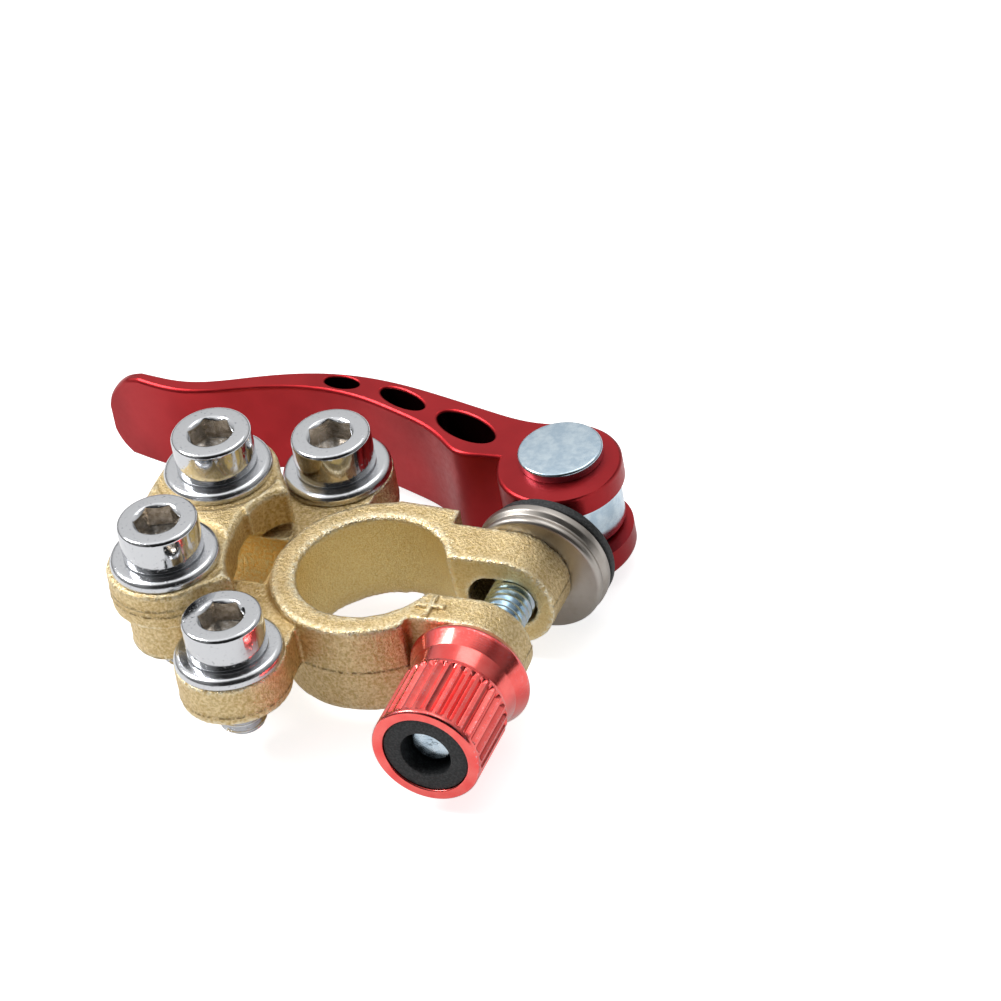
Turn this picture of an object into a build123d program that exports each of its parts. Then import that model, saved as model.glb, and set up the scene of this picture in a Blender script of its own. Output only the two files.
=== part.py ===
from build123d import *
import os

# Quick-release battery terminal clamp, in millimetres.
# Origin: centre of the post bore at the ring's lower face. +Z runs up the post,
# +X points from the ring to its split ears, and the clamp rod runs along Y.

# ---- ring and ears -------------------------------------------------------------
RING_H = 12.6
BORE_R = 9.5
RING_R = 12.7
RING_DRAFT = 0.2            # the mould draft takes this off the wall at both faces
RING_EDGE = 0.4             # broken edge of the wall's two rims, as cast
BORE_LEAD = 0.4             # broken edge at the top of the bore
SLOT_W = 6.8                # gap between the ears, with the ring sprung open
EAR_NEAR_Y = 8.2            # outer face of the near ear, from the slot's middle plane
EAR_FAR_Y = 9.7             # outer face of the far ear, which is the thicker one
EAR_END_X = 21.6
SWELL_X = -1.0              # where the far wall leaves the round and runs to its shoulder
SWELL_Y = 12.65
SHOULDER_X = 7.1
SHOULDER_Y = 12.2
NEAR_SEAT_X = 7.9           # inner end of the flat that the nut turns against
ROD_X = 16.0
ROD_Z = RING_H / 2
EAR_HOLE_R = 3.4
EAR_HOLE_INNER_X = 13.9     # inner end centre of the oblong rod hole
PLUS_X = 10.3               # raised polarity mark on the near ear
PLUS_Y = -5.9
PLUS_SIZE = 3.8
PLUS_BAR = 0.9
PLUS_H = 0.35

# ---- cable block ---------------------------------------------------------------
BLOCK_TOP = 12.3
CABLE_BOLT_X = -22.8
CABLE_BOLT_Y = 8.5
BOSS_R = 6.0
BOSS_BOTTOM = 6.1
SLAB_HALF_W = 10.0
CABLE_R = 4.5
CABLE_Z = 9.3
TROUGH_R = 6.7
BLOCK_BACK_X = -29.6
BLOCK_FRONT_X = -17.0       # the block stands to its full height behind this line
BLOCK_L = 10.8

# ---- cable cap -----------------------------------------------------------------
CAP_T = 5.0
CAP_R = 7.4
CAP_LAND = 0.25             # how far the middle stands above the screws' spot faces
CAP_SPOT_R = 7.9
CAP_EDGE = 0.6

# ---- side lugs -----------------------------------------------------------------
LUG_X = -11.6
LUG_Y = 17.6
LUG_R = 6.9
LUG_TOP = 11.4
LUG_BOTTOM = 6.0
WEB_HALF_W = 6.35           # each lug's web starts this wide, level with WEB_OUTER_Y
WEB_OUTER_Y = 15.1
WEB_X = -5.6                # and runs into the ring here
WEB_Y = 10.6
WEB_BACK_X = -19.8          # and into the block here
WEB_BACK_Y = 6.5

# ---- M6 screws and washers -----------------------------------------------------
SHANK_R = 2.95
HOLE_R = 3.0
HEAD_R = 5.0
HEAD_H = 4.9
HEAD_CROWN = 0.4            # chamfer round the head's top
THREAD_LEAD = 0.6           # chamfer on the end of each thread
SOCKET_AF = 5.0
SOCKET_DEPTH = 3.0
CABLE_BOLT_L = 18.0
SIDE_BOLT_L = 12.0
WASHER_R = 6.8
WASHER_T = 1.36
WASHER_HOLE_R = 3.2
WASHER_EDGE = 0.3

# ---- rod and thumb nut ---------------------------------------------------------
EYE_R = 6.4
EYE_T = 7.1
EYE_EDGE = 0.4
PIN_Y = 23.8
PIN_R = 3.0
PIN_CLEAR = 0.05            # the eye turns freely on the pin
PIN_FIT = 0.02              # the lever sits closer on it
ROD_END_Y = -22.9
NUT_GAP = 0.3               # play between the near ear and the thumb nut
NUT_FRONT_Y = -25.2
NUT_BODY_R = 6.85
NUT_RIM = 0.4               # broken edge of the nut's front rim
NUT_RUN = 0.06              # running clearance of the nut on the rod
SEAT_R = 6.6                # face of the nut that bears on the ear
FLANGE_R = 7.8
FLANGE_AT = 1.7             # widest line, crease, neck and flute ends, all from the nut's seat
CREASE_R = 6.75
CREASE_AT = 3.9
NECK_R = 6.45
NECK_AT = 6.5
FLUTES_AT = 7.1
FLUTE_STOP = 0.7            # the flutes end this far behind the front
FLUTES = 32
FLUTE_DEPTH = 0.4           # V grooves, so that a ridge stands between each two
INSERT_R = 5.4
INSERT_HOLE_R = 3.2
INSERT_L = 6.0
INSERT_DEPTH = 0.25         # the insert's face lies this far inside the rim

# ---- cup washer and saddle -----------------------------------------------------
CUP_X = 16.9                # the cup hangs off the rod's axis on its wide hole
CUP_Z = 5.8
CUP_HOLE_R = 4.15
CUP_DISC_R = 8.35
CUP_DISC_EDGE = 0.6         # rounding of the disc's front edge
CUP_R = 8.57
CUP_GROOVE = 0.3            # depth of the groove behind the disc
CUP_STEP_Y = 11.3
CUP_END_Y = 12.8
CUP_WALL = 0.8
SADDLE_R = 8.45
ROD_PASS_R = 3.3            # clearance hole for the rod
SADDLE_SPIGOT_R = 6.4
SADDLE_GAP = 0.3            # play between the saddle and the cup
SADDLE_END_Y = 15.8
SADDLE_HALF_H = 7.0         # the saddle is cut flat above and below

# ---- cam lever -----------------------------------------------------------------
CAM_R = 7.78
CAM_THROW = 1.2             # the cam's round stands off the pivot this far towards the ear
CAM_SIDE = 0.15             # and this far outwards
CAM_GAP = 0.35              # between the cam and the saddle's cradle
LEVER_H = 13.2
LEVER_SLOT = 7.5
SLOT_CLEAR_R = 6.9
TIP_X = -49.0
EDGE = 0.45                 # broken edge round the lever
PIN_HEAD_R = 5.3
PIN_HEAD_T = 1.3
PIN_HEAD_EDGE = 0.3

CAM_X = ROD_X + CAM_SIDE
CAM_Y = PIN_Y - CAM_THROW
LEVER_Z = ROD_Z - LEVER_H / 2
LEVER_TOP = LEVER_Z + LEVER_H
CAP_TOP = BLOCK_TOP + CAP_T

os.makedirs("parts", exist_ok=True)


def write(solid, label):
    """Label a finished piece and write it as its own STEP file."""
    solid.label = label
    export_step(solid, "parts/" + label + ".step")


def is_bore_edge(edge):
    """True for an edge on the post bore's wall."""
    return abs(edge.radius - BORE_R) < 0.01


# ---- clamp body: one brass casting ------------------------------------------------
with BuildPart() as clamp_body:
    # ring, drafted both ways from the mould's parting line at mid height
    with BuildSketch(Plane.XZ) as ring_profile:
        with BuildLine():
            Polyline(
                (0, 0),
                (RING_R - RING_DRAFT - RING_EDGE, 0),
                (RING_R - RING_DRAFT, RING_EDGE),
                (RING_R, RING_H / 2),
                (RING_R - RING_DRAFT, RING_H - RING_EDGE),
                (RING_R - RING_DRAFT - RING_EDGE, RING_H),
                (0, RING_H),
                close=True,
            )
        make_face()
    revolve(axis=Axis.Z)

    # the far wall swells to a shoulder, and both sides step in to the ears
    with BuildSketch() as ears:
        with BuildLine():
            Polyline(
                (SWELL_X, SWELL_Y),
                (SHOULDER_X, SHOULDER_Y),
                (SHOULDER_X, EAR_FAR_Y),
                (EAR_END_X, EAR_FAR_Y),
                (EAR_END_X, -EAR_NEAR_Y),
                (SWELL_X, -EAR_NEAR_Y),
                close=True,
            )
        make_face()
    extrude(amount=RING_H)

    # the ears end in a full round about an axis across the slot
    with BuildSketch(Plane.XZ) as ear_round:
        with Locations((EAR_END_X - RING_H / 4, ROD_Z)):
            Rectangle(RING_H / 2, RING_H)
        with Locations((EAR_END_X - RING_H / 2, ROD_Z)):
            Circle(RING_H / 2, mode=Mode.SUBTRACT)
    extrude(amount=2 * EAR_FAR_Y, both=True, mode=Mode.SUBTRACT)

    # flat faces square to the rod, outside both ears
    with BuildSketch() as seats:
        with Locations((NEAR_SEAT_X, -EAR_NEAR_Y)):
            Rectangle(EAR_END_X, RING_R, align=(Align.MIN, Align.MAX))
        with Locations((SHOULDER_X, EAR_FAR_Y)):
            Rectangle(EAR_END_X, RING_R, align=(Align.MIN, Align.MIN))
    extrude(amount=RING_H, mode=Mode.SUBTRACT)

    # bosses under the cable screws, and between them the block that the cap closes
    with BuildSketch(Plane.XY.offset(BOSS_BOTTOM)) as block:
        with Locations((CABLE_BOLT_X, CABLE_BOLT_Y), (CABLE_BOLT_X, -CABLE_BOLT_Y)):
            Circle(BOSS_R)
        with Locations((BLOCK_FRONT_X, 0)):
            Rectangle(BLOCK_L, 2 * SLAB_HALF_W, align=(Align.MAX, Align.CENTER))
    extrude(amount=BLOCK_TOP - BOSS_BOTTOM)

    # a lower slab ties the block to the ring
    with BuildSketch(Plane.XY.offset(BOSS_BOTTOM)) as slab:
        with Locations((BLOCK_FRONT_X, 0)):
            Rectangle(-BLOCK_FRONT_X, 2 * SLAB_HALF_W, align=(Align.MIN, Align.CENTER))
    extrude(amount=LUG_TOP - BOSS_BOTTOM)

    # the trough that carries the cable, a half pipe on the underside, lower beyond the block
    for start, end, top in (
        (BLOCK_BACK_X, BLOCK_FRONT_X, BLOCK_TOP),
        (BLOCK_FRONT_X, 1 - RING_R, LUG_TOP),
    ):
        with BuildSketch(Plane.YZ.offset(start)) as trough:
            with Locations((0, CABLE_Z)):
                Circle(TROUGH_R)
            with Locations((0, top + TROUGH_R)):
                Rectangle(4 * TROUGH_R, 2 * TROUGH_R, mode=Mode.SUBTRACT)
        extrude(amount=end - start)

    # side lugs for ring terminals, each with a web to the ring
    with BuildSketch(Plane.XY.offset(LUG_BOTTOM)) as lugs:
        for side in (1, -1):
            with BuildLine():
                Polyline(
                    (LUG_X - WEB_HALF_W, side * WEB_OUTER_Y),
                    (LUG_X + WEB_HALF_W, side * WEB_OUTER_Y),
                    (WEB_X, side * WEB_Y),
                    (WEB_BACK_X, side * WEB_BACK_Y),
                    close=True,
                )
            make_face()
        with Locations((LUG_X, LUG_Y), (LUG_X, -LUG_Y)):
            Circle(LUG_R)
    extrude(amount=LUG_TOP - LUG_BOTTOM)

    # cable channel, open above where it runs out against the ring's wall
    with BuildSketch(Plane.YZ.offset(BLOCK_BACK_X - 1)) as channel:
        with Locations((0, CABLE_Z)):
            Circle(CABLE_R)
    extrude(amount=1 - BLOCK_BACK_X - RING_R, mode=Mode.SUBTRACT)

    # post bore, slot and oblong rod holes
    with BuildSketch() as bore:
        Circle(BORE_R)
        with Locations((EAR_END_X / 2, 0)):
            Rectangle(EAR_END_X + 2, SLOT_W)
    extrude(amount=RING_H, mode=Mode.SUBTRACT)
    with BuildSketch(Plane.XZ) as rod_holes:
        with Locations(((ROD_X + EAR_HOLE_INNER_X) / 2, ROD_Z)):
            SlotCenterToCenter(ROD_X - EAR_HOLE_INNER_X, 2 * EAR_HOLE_R)
    extrude(amount=2 * EAR_FAR_Y, both=True, mode=Mode.SUBTRACT)

    bore_top = clamp_body.edges().filter_by(GeomType.CIRCLE).group_by(Axis.Z)[-1].filter_by(is_bore_edge)
    chamfer(bore_top, length=BORE_LEAD)

    # threaded holes for the four screws
    with Locations((CABLE_BOLT_X, CABLE_BOLT_Y, BLOCK_TOP), (CABLE_BOLT_X, -CABLE_BOLT_Y, BLOCK_TOP)):
        Hole(HOLE_R)
    with Locations((LUG_X, LUG_Y, LUG_TOP), (LUG_X, -LUG_Y, LUG_TOP)):
        Hole(HOLE_R)

    with BuildSketch(Plane.XY.offset(RING_H)) as plus_mark:
        with Locations((PLUS_X, PLUS_Y)):
            Rectangle(PLUS_SIZE, PLUS_BAR)
            Rectangle(PLUS_BAR, PLUS_SIZE)
    extrude(amount=PLUS_H)

write(clamp_body.part, "clamp_body")

# ---- cable cap: the plate that presses the cable into the trough --------------------
with BuildPart() as cable_cap:
    with BuildSketch(Plane.XY.offset(BLOCK_TOP)) as cap_plan:
        with Locations((CABLE_BOLT_X, CABLE_BOLT_Y), (CABLE_BOLT_X, -CABLE_BOLT_Y)):
            Circle(CAP_R)
        with BuildLine():
            # back and far side, out to the nose beside the ring
            Polyline(
                (-15.4, -11.7),
                (CABLE_BOLT_X, -CABLE_BOLT_Y - CAP_R),
                (CABLE_BOLT_X - CAP_R, -CABLE_BOLT_Y),
                (CABLE_BOLT_X - CAP_R, CABLE_BOLT_Y),
                (CABLE_BOLT_X, CABLE_BOLT_Y + CAP_R),
                (-17.6, 13.6),
                (-13.0, 7.2),
                (-12.6, 6.3),
            )
            # front edge, hollowed to clear the ring, with a small step by the nose
            Spline((-12.6, 6.3), (-14.3, 5.4), (-15.4, 3.9), (-15.9, 1.5))
            Line((-15.9, 1.5), (-16.5, 1.4))
            Spline((-16.5, 1.4), (-16.4, -2.6), (-15.6, -6.8), (-13.3, -10.4))
            Line((-13.3, -10.4), (-15.4, -11.7))
        make_face()
    extrude(amount=CAP_T + CAP_LAND)
    cap_rims = cable_cap.faces().sort_by(Axis.Z)[-1].outer_wire().edges()
    chamfer(cap_rims, length=CAP_EDGE)
    with BuildSketch(Plane.XY.offset(CAP_TOP)) as spot_faces:
        with Locations((CABLE_BOLT_X, CABLE_BOLT_Y), (CABLE_BOLT_X, -CABLE_BOLT_Y)):
            Circle(CAP_SPOT_R)
    extrude(amount=CAP_LAND, mode=Mode.SUBTRACT)
    with BuildSketch(Plane.YZ.offset(CABLE_BOLT_X - CAP_R - 1)) as cap_arch:
        with Locations((0, CABLE_Z)):
            Circle(CABLE_R)
    extrude(amount=-CABLE_BOLT_X, mode=Mode.SUBTRACT)
    with Locations((CABLE_BOLT_X, CABLE_BOLT_Y, CAP_TOP), (CABLE_BOLT_X, -CABLE_BOLT_Y, CAP_TOP)):
        Hole(WASHER_HOLE_R)

write(cable_cap.part, "cable_cap")


# ---- screws and washers --------------------------------------------------------------
def socket_screw(x, y, seat_z, length, label):
    """M6 socket screw standing on a washer at seat_z."""
    with BuildPart() as screw:
        with BuildSketch(Plane.XZ) as screw_profile:
            with BuildLine():
                Polyline(
                    (0, -length),
                    (SHANK_R - THREAD_LEAD, -length),
                    (SHANK_R, THREAD_LEAD - length),
                    (SHANK_R, 0),
                    (HEAD_R, 0),
                    (HEAD_R, HEAD_H),
                    (0, HEAD_H),
                    close=True,
                )
            make_face()
        revolve(axis=Axis.Z)
        crown = screw.edges().filter_by(GeomType.CIRCLE).group_by(Axis.Z)[-1]
        chamfer(crown, length=HEAD_CROWN)
        with BuildSketch(Plane.XY.offset(HEAD_H)) as hex_socket:
            RegularPolygon(SOCKET_AF / 2, 6, major_radius=False)
        extrude(amount=-SOCKET_DEPTH, mode=Mode.SUBTRACT)
    write(screw.part.moved(Location((x, y, seat_z))), label)


def washer(x, y, seat_z, label):
    """Plain M6 washer with a broken upper rim, lying on seat_z."""
    with BuildPart() as ring:
        with BuildSketch(Plane.XY.offset(seat_z)) as washer_plan:
            with Locations((x, y)):
                Circle(WASHER_R)
                Circle(WASHER_HOLE_R, mode=Mode.SUBTRACT)
        extrude(amount=WASHER_T)
        rim = ring.faces().sort_by(Axis.Z)[-1].outer_wire().edges()
        chamfer(rim, length=WASHER_EDGE)
    write(ring.part, label)


screw_places = {
    "cable_screw_far": (CABLE_BOLT_X, CABLE_BOLT_Y, CAP_TOP, CABLE_BOLT_L),
    "cable_screw_near": (CABLE_BOLT_X, -CABLE_BOLT_Y, CAP_TOP, CABLE_BOLT_L),
    "side_screw_far": (LUG_X, LUG_Y, LUG_TOP, SIDE_BOLT_L),
    "side_screw_near": (LUG_X, -LUG_Y, LUG_TOP, SIDE_BOLT_L),
}
for name, (x, y, seat, length) in screw_places.items():
    washer(x, y, seat, name.replace("screw", "washer"))
    socket_screw(x, y, seat + WASHER_T, length, name)

# ---- clamp rod: an eye bolt that runs through both ears --------------------------------
with BuildPart() as clamp_rod:
    with BuildSketch(Plane.XY.offset(ROD_Z - EYE_T / 2)) as eye:
        with Locations((ROD_X, PIN_Y)):
            Circle(EYE_R)
    extrude(amount=EYE_T)
    with BuildSketch(Plane.XZ.offset(-PIN_Y)) as shank:
        with Locations((ROD_X, ROD_Z)):
            Circle(SHANK_R)
    extrude(amount=PIN_Y - ROD_END_Y)
    rod_tip = clamp_rod.edges().group_by(Axis.Y)[0]
    chamfer(rod_tip, length=THREAD_LEAD)
    eye_rims = clamp_rod.edges().filter_by(GeomType.CIRCLE).filter_by(lambda e: abs(e.radius - EYE_R) < 0.01)
    chamfer(eye_rims, length=EYE_EDGE)
    with Locations((ROD_X, PIN_Y, ROD_Z + EYE_T / 2)):
        Hole(PIN_R + PIN_CLEAR)

write(clamp_rod.part, "clamp_rod")

# ---- thumb nut: wide flange, neck and fluted grip ------------------------------------------
NUT_BACK_Y = -EAR_NEAR_Y - NUT_GAP
rod_axis = Axis((ROD_X, 0, ROD_Z), (0, 1, 0))
nut_plane = Plane(origin=(ROD_X, 0, ROD_Z), x_dir=(1, 0, 0), z_dir=(0, 0, 1))
with BuildPart() as thumb_nut:
    with BuildSketch(nut_plane) as nut_profile:
        with BuildLine():
            Polyline(
                (SHANK_R + NUT_RUN, NUT_BACK_Y),
                (SEAT_R, NUT_BACK_Y),
                (FLANGE_R, NUT_BACK_Y - FLANGE_AT),
                (CREASE_R, NUT_BACK_Y - CREASE_AT),
                (NECK_R, NUT_BACK_Y - NECK_AT),
                (NUT_BODY_R, NUT_BACK_Y - FLUTES_AT),
                (NUT_BODY_R, NUT_FRONT_Y + NUT_RIM),
                (NUT_BODY_R - NUT_RIM, NUT_FRONT_Y),
                (INSERT_R, NUT_FRONT_Y),
                (INSERT_R, NUT_FRONT_Y + INSERT_DEPTH + INSERT_L),
                (SHANK_R + NUT_RUN, NUT_FRONT_Y + INSERT_DEPTH + INSERT_L),
                close=True,
            )
        make_face()
    revolve(axis=rod_axis)
    flutes_front = NUT_FRONT_Y + FLUTE_STOP
    with BuildSketch(Plane(origin=(ROD_X, flutes_front, ROD_Z), x_dir=(1, 0, 0), z_dir=(0, 1, 0))) as flutes:
        with PolarLocations(NUT_BODY_R, FLUTES):
            RegularPolygon(FLUTE_DEPTH, 4)
    extrude(amount=NUT_BACK_Y - FLUTES_AT - flutes_front, mode=Mode.SUBTRACT)

write(thumb_nut.part, "thumb_nut")

with BuildPart() as lock_insert:
    with BuildSketch(Plane.XZ.offset(-NUT_FRONT_Y - INSERT_DEPTH)) as insert_ring:
        with Locations((ROD_X, ROD_Z)):
            Circle(INSERT_R)
            Circle(INSERT_HOLE_R, mode=Mode.SUBTRACT)
    extrude(amount=-INSERT_L)

write(lock_insert.part, "lock_insert")

# ---- cup washer, pressed from sheet, hanging on the rod against the far ear -----------------
cup_plane = Plane(origin=(CUP_X, 0, CUP_Z), x_dir=(1, 0, 0), z_dir=(0, 0, 1))
with BuildPart() as cup_washer:
    with BuildSketch(cup_plane) as cup_profile:
        with BuildLine():
            Polyline(
                (CUP_HOLE_R, EAR_FAR_Y),
                (CUP_DISC_R - CUP_DISC_EDGE, EAR_FAR_Y),
                (CUP_DISC_R, EAR_FAR_Y + CUP_DISC_EDGE),
                (CUP_DISC_R, CUP_STEP_Y - 2 * CUP_GROOVE),
                (CUP_DISC_R - CUP_GROOVE, CUP_STEP_Y),
                (CUP_R, CUP_STEP_Y + CUP_GROOVE),
                (CUP_R, CUP_END_Y),
                (CUP_R - CUP_WALL, CUP_END_Y),
                (CUP_R - CUP_WALL, EAR_FAR_Y + CUP_WALL),
                (CUP_HOLE_R, EAR_FAR_Y + CUP_WALL),
                close=True,
            )
        make_face()
    revolve(axis=Axis((CUP_X, 0, CUP_Z), (0, 1, 0)))

write(cup_washer.part, "cup_washer")

# ---- saddle that the cam bears on, with a spigot inside the cup ------------------------------
with BuildPart() as cam_saddle:
    with BuildSketch(nut_plane) as saddle_profile:
        with BuildLine():
            Polyline(
                (ROD_PASS_R, EAR_FAR_Y + CUP_WALL + SADDLE_GAP),
                (SADDLE_SPIGOT_R, EAR_FAR_Y + CUP_WALL + SADDLE_GAP),
                (SADDLE_SPIGOT_R, CUP_END_Y + SADDLE_GAP),
                (SADDLE_R, CUP_END_Y + SADDLE_GAP),
                (SADDLE_R, SADDLE_END_Y),
                (ROD_PASS_R, SADDLE_END_Y),
                close=True,
            )
        make_face()
    revolve(axis=rod_axis)
    with BuildSketch(Plane.XZ.offset(-CUP_END_Y)) as flats:
        with Locations((ROD_X, ROD_Z)):
            Rectangle(4 * CUP_R, 4 * CUP_R)
            Rectangle(4 * CUP_R, 2 * SADDLE_HALF_H, mode=Mode.SUBTRACT)
    extrude(amount=-CUP_R, mode=Mode.SUBTRACT)
    with BuildSketch(Plane.XY.offset(ROD_Z - 2 * CUP_R)) as cradle:
        with Locations((CAM_X, CAM_Y)):
            Circle(CAM_R + CAM_GAP)
    extrude(amount=4 * CUP_R, mode=Mode.SUBTRACT)

write(cam_saddle.part, "cam_saddle")

# ---- cam lever ---------------------------------------------------------------------------------
with BuildPart() as cam_lever:
    with BuildSketch(Plane.XY.offset(LEVER_Z)) as lever_plan:
        with BuildLine():
            Spline(
                (10.2, 22.3),
                (6.0, 22.2),
                (2.6, 22.3),
                (-0.4, 24.4),
                (-3.9, 26.7),
                (-8.0, 28.4),
                (-13.0, 30.1),
                (-20.5, 31.0),
                (-28.3, 29.7),
                (-37.0, 27.6),
                (-42.6, 28.4),
                (-48.7, 30.1),
            )
            Line((-48.7, 30.1), (-49.0, 31.2))
            Spline(
                (-49.0, 31.2),
                (-42.8, 30.3),
                (-37.0, 29.8),
                (-28.8, 32.1),
                (-20.5, 34.3),
                (-13.0, 34.5),
                (-3.9, 32.9),
                (4.0, 30.9),
                (10.0, 29.8),
                (16.3, 30.3),
            )
            Line((16.3, 30.3), (16.3, 22.3))
            Line((16.3, 22.3), (10.2, 22.3))
        make_face()
        with Locations((CAM_X, CAM_Y)):
            Circle(CAM_R)
    extrude(amount=LEVER_H)

    # the thumb end is rounded off in elevation
    with BuildSketch(Plane.XZ) as tip_round:
        with BuildLine():
            Line((TIP_X + 5, LEVER_TOP), (TIP_X - 1, LEVER_TOP))
            Line((TIP_X - 1, LEVER_TOP), (TIP_X - 1, LEVER_Z))
            Line((TIP_X - 1, LEVER_Z), (TIP_X + 3.4, LEVER_Z))
            Spline(
                (TIP_X + 3.4, LEVER_Z),
                (TIP_X + 0.5, LEVER_Z + 2.6),
                (TIP_X, LEVER_Z + 6.0),
                (TIP_X + 0.9, LEVER_Z + 9.9),
                (TIP_X + 5, LEVER_TOP),
            )
        make_face()
    extrude(amount=-3 * LEVER_H, mode=Mode.SUBTRACT)

    rims = cam_lever.faces().filter_by(Axis.Z).edges()
    chamfer(rims, length=EDGE)

    # three lightening holes that shrink along the arm
    with BuildSketch(Plane.XY.offset(LEVER_Z)) as lightening:
        with Locations(Location((-16.4, 32.3), -4)):
            SlotOverall(5.2, 1.9)
        with Locations(Location((-7.7, 30.7), -22)):
            SlotOverall(6.6, 3.2)
        with Locations(Location((2.4, 27.0), -24)):
            SlotOverall(9.2, 5.0)
    extrude(amount=LEVER_H, mode=Mode.SUBTRACT)

    # slot for the rod's eye, open wherever the rod swings
    with BuildSketch(Plane.XY.offset(ROD_Z - LEVER_SLOT / 2)) as eye_slot:
        with Locations((ROD_X, PIN_Y)):
            Circle(SLOT_CLEAR_R)
        with Locations((ROD_X - SHANK_R - 0.5 + CAM_R, PIN_Y)):
            Rectangle(2 * CAM_R, 4 * CAM_R)
    extrude(amount=LEVER_SLOT, mode=Mode.SUBTRACT)
    with Locations((ROD_X, PIN_Y, LEVER_TOP)):
        Hole(PIN_R + PIN_FIT)

write(cam_lever.part, "cam_lever")

# ---- pivot pin: flat head above, formed over below -------------------------------------------------
with BuildPart() as pivot_pin:
    with BuildSketch(Plane.XY.offset(LEVER_Z)) as pin_shank:
        with Locations((ROD_X, PIN_Y)):
            Circle(PIN_R)
    extrude(amount=LEVER_H)
    with BuildSketch(Plane.XY.offset(LEVER_TOP)) as pin_head:
        with Locations((ROD_X, PIN_Y)):
            Circle(PIN_HEAD_R)
    extrude(amount=PIN_HEAD_T)
    head_rims = pivot_pin.edges().filter_by(GeomType.CIRCLE).group_by(Axis.Z)[-1]
    chamfer(head_rims, length=PIN_HEAD_EDGE)

write(pivot_pin.part, "pivot_pin")
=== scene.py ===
from math import pi, radians

import bmesh
import bpy
import numpy as np
from mathutils import Matrix, Vector


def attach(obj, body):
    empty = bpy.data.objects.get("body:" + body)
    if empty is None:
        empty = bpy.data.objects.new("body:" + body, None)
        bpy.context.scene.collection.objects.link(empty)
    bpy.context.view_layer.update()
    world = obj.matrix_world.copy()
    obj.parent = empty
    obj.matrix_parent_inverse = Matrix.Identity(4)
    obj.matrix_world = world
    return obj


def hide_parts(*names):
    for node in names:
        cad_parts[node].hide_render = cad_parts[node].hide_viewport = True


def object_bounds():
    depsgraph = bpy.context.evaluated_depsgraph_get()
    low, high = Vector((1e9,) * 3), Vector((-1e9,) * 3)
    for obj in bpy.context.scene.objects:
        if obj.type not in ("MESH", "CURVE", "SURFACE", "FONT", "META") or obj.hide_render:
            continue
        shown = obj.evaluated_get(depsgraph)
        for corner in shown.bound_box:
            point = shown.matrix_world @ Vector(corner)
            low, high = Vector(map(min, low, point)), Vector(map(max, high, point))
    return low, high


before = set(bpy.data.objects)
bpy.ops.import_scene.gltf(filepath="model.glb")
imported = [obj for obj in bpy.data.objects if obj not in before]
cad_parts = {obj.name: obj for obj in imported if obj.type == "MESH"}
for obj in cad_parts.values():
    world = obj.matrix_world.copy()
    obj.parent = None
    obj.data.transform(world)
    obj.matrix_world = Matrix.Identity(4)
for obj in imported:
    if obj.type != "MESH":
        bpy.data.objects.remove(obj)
CAD_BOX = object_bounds()

# Quick-release battery clamp. Sizes below are in millimetres, in the CAD's own frame,
# and MM turns them into Blender's metres when a mesh is made.
MM = 0.001
TURN = 2 * pi

ROD_X = 16.0
ROD_Z = 6.3
ROD_END_Y = -22.9
PIN_Y = 23.8
CAM_X = 16.15
CAM_Y = 22.6
CRADLE_R = 8.13             # radius of the saddle's cradle round the cam
NUT_BACK_Y = -8.5
NUT_FRONT_Y = -25.2
CUP_X = 16.9
CUP_Z = 5.8
LEVER_Z = -0.3
LEVER_TOP = 12.9
RING_H = 12.6
CAP_TOP = 17.3
LUG_TOP = 11.4
WASHER_T = 1.36
M6_R = 2.93                 # crest of the M6 threads
THREAD_DEPTH = 0.61
PITCH = 1.0
GRIP_R = 6.88
CASTING_VOXEL = 0.27
CAP_VOXEL = 0.2
SCREW_PLACES = {
    "cable_screw_far": (-22.8, 8.5, CAP_TOP, 16.6),
    "cable_screw_near": (-22.8, -8.5, CAP_TOP, 16.6),
    "side_screw_far": (-11.6, 17.6, LUG_TOP, 12.0),
    "side_screw_near": (-11.6, -17.6, LUG_TOP, 12.0),
}


# ---- meshes worked out as whole arrays ----------------------------------------------
def eased(corners, radii, steps=6):
    """A polyline with its corners rounded off to true arcs.

    Each corner P with tangent points A and B becomes the rational quadratic
    ((1-t)^2 A + 2w t(1-t) P + t^2 B) / ((1-t)^2 + 2w t(1-t) + t^2), where w is the sine of
    half the corner's angle, which makes it a circle of the radius given for that corner.
    """
    corners = np.asarray(corners, float)
    radii = np.asarray(radii, float)[:, None]
    before = np.vstack([corners[:1] * 2 - corners[1:2], corners[:-1]]) - corners
    after = np.vstack([corners[1:], corners[-1:] * 2 - corners[-2:-1]]) - corners
    before /= np.linalg.norm(before, axis=1, keepdims=True)
    after /= np.linalg.norm(after, axis=1, keepdims=True)
    half = np.arccos(np.clip((before * after).sum(1, keepdims=True), -1, 1)) / 2
    reach = radii / np.tan(np.maximum(half, 1e-6))
    a, b, w = corners + before * reach, corners + after * reach, np.sin(half)
    t = np.linspace(0, 1, steps)[None, :, None]
    pull = 2 * w[:, None] * t * (1 - t)
    top = (1 - t) ** 2 * a[:, None] + pull * corners[:, None] + t**2 * b[:, None]
    bottom = (1 - t) ** 2 + pull + t**2
    return (top / bottom).reshape(-1, 2)


def run_of(path):
    """How far along a polyline each of its points lies."""
    return np.concatenate([[0], np.cumsum(np.linalg.norm(np.diff(path, axis=0), axis=1))])


def turned(profile, columns, swell=None):
    """A turned shape about +Z: (r cos a, r sin a, h) for each profile point (r, h) and angle a.

    swell, of shape (points, columns), is a radius for every point and angle instead of r.
    """
    profile = np.asarray(profile, float)
    a = np.linspace(0, TURN, columns, endpoint=False)
    r = profile[:, :1] * np.ones(columns) if swell is None else swell
    h = profile[:, 1:] * np.ones(columns)
    return np.stack([r * np.cos(a), r * np.sin(a), h], axis=-1)


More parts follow.
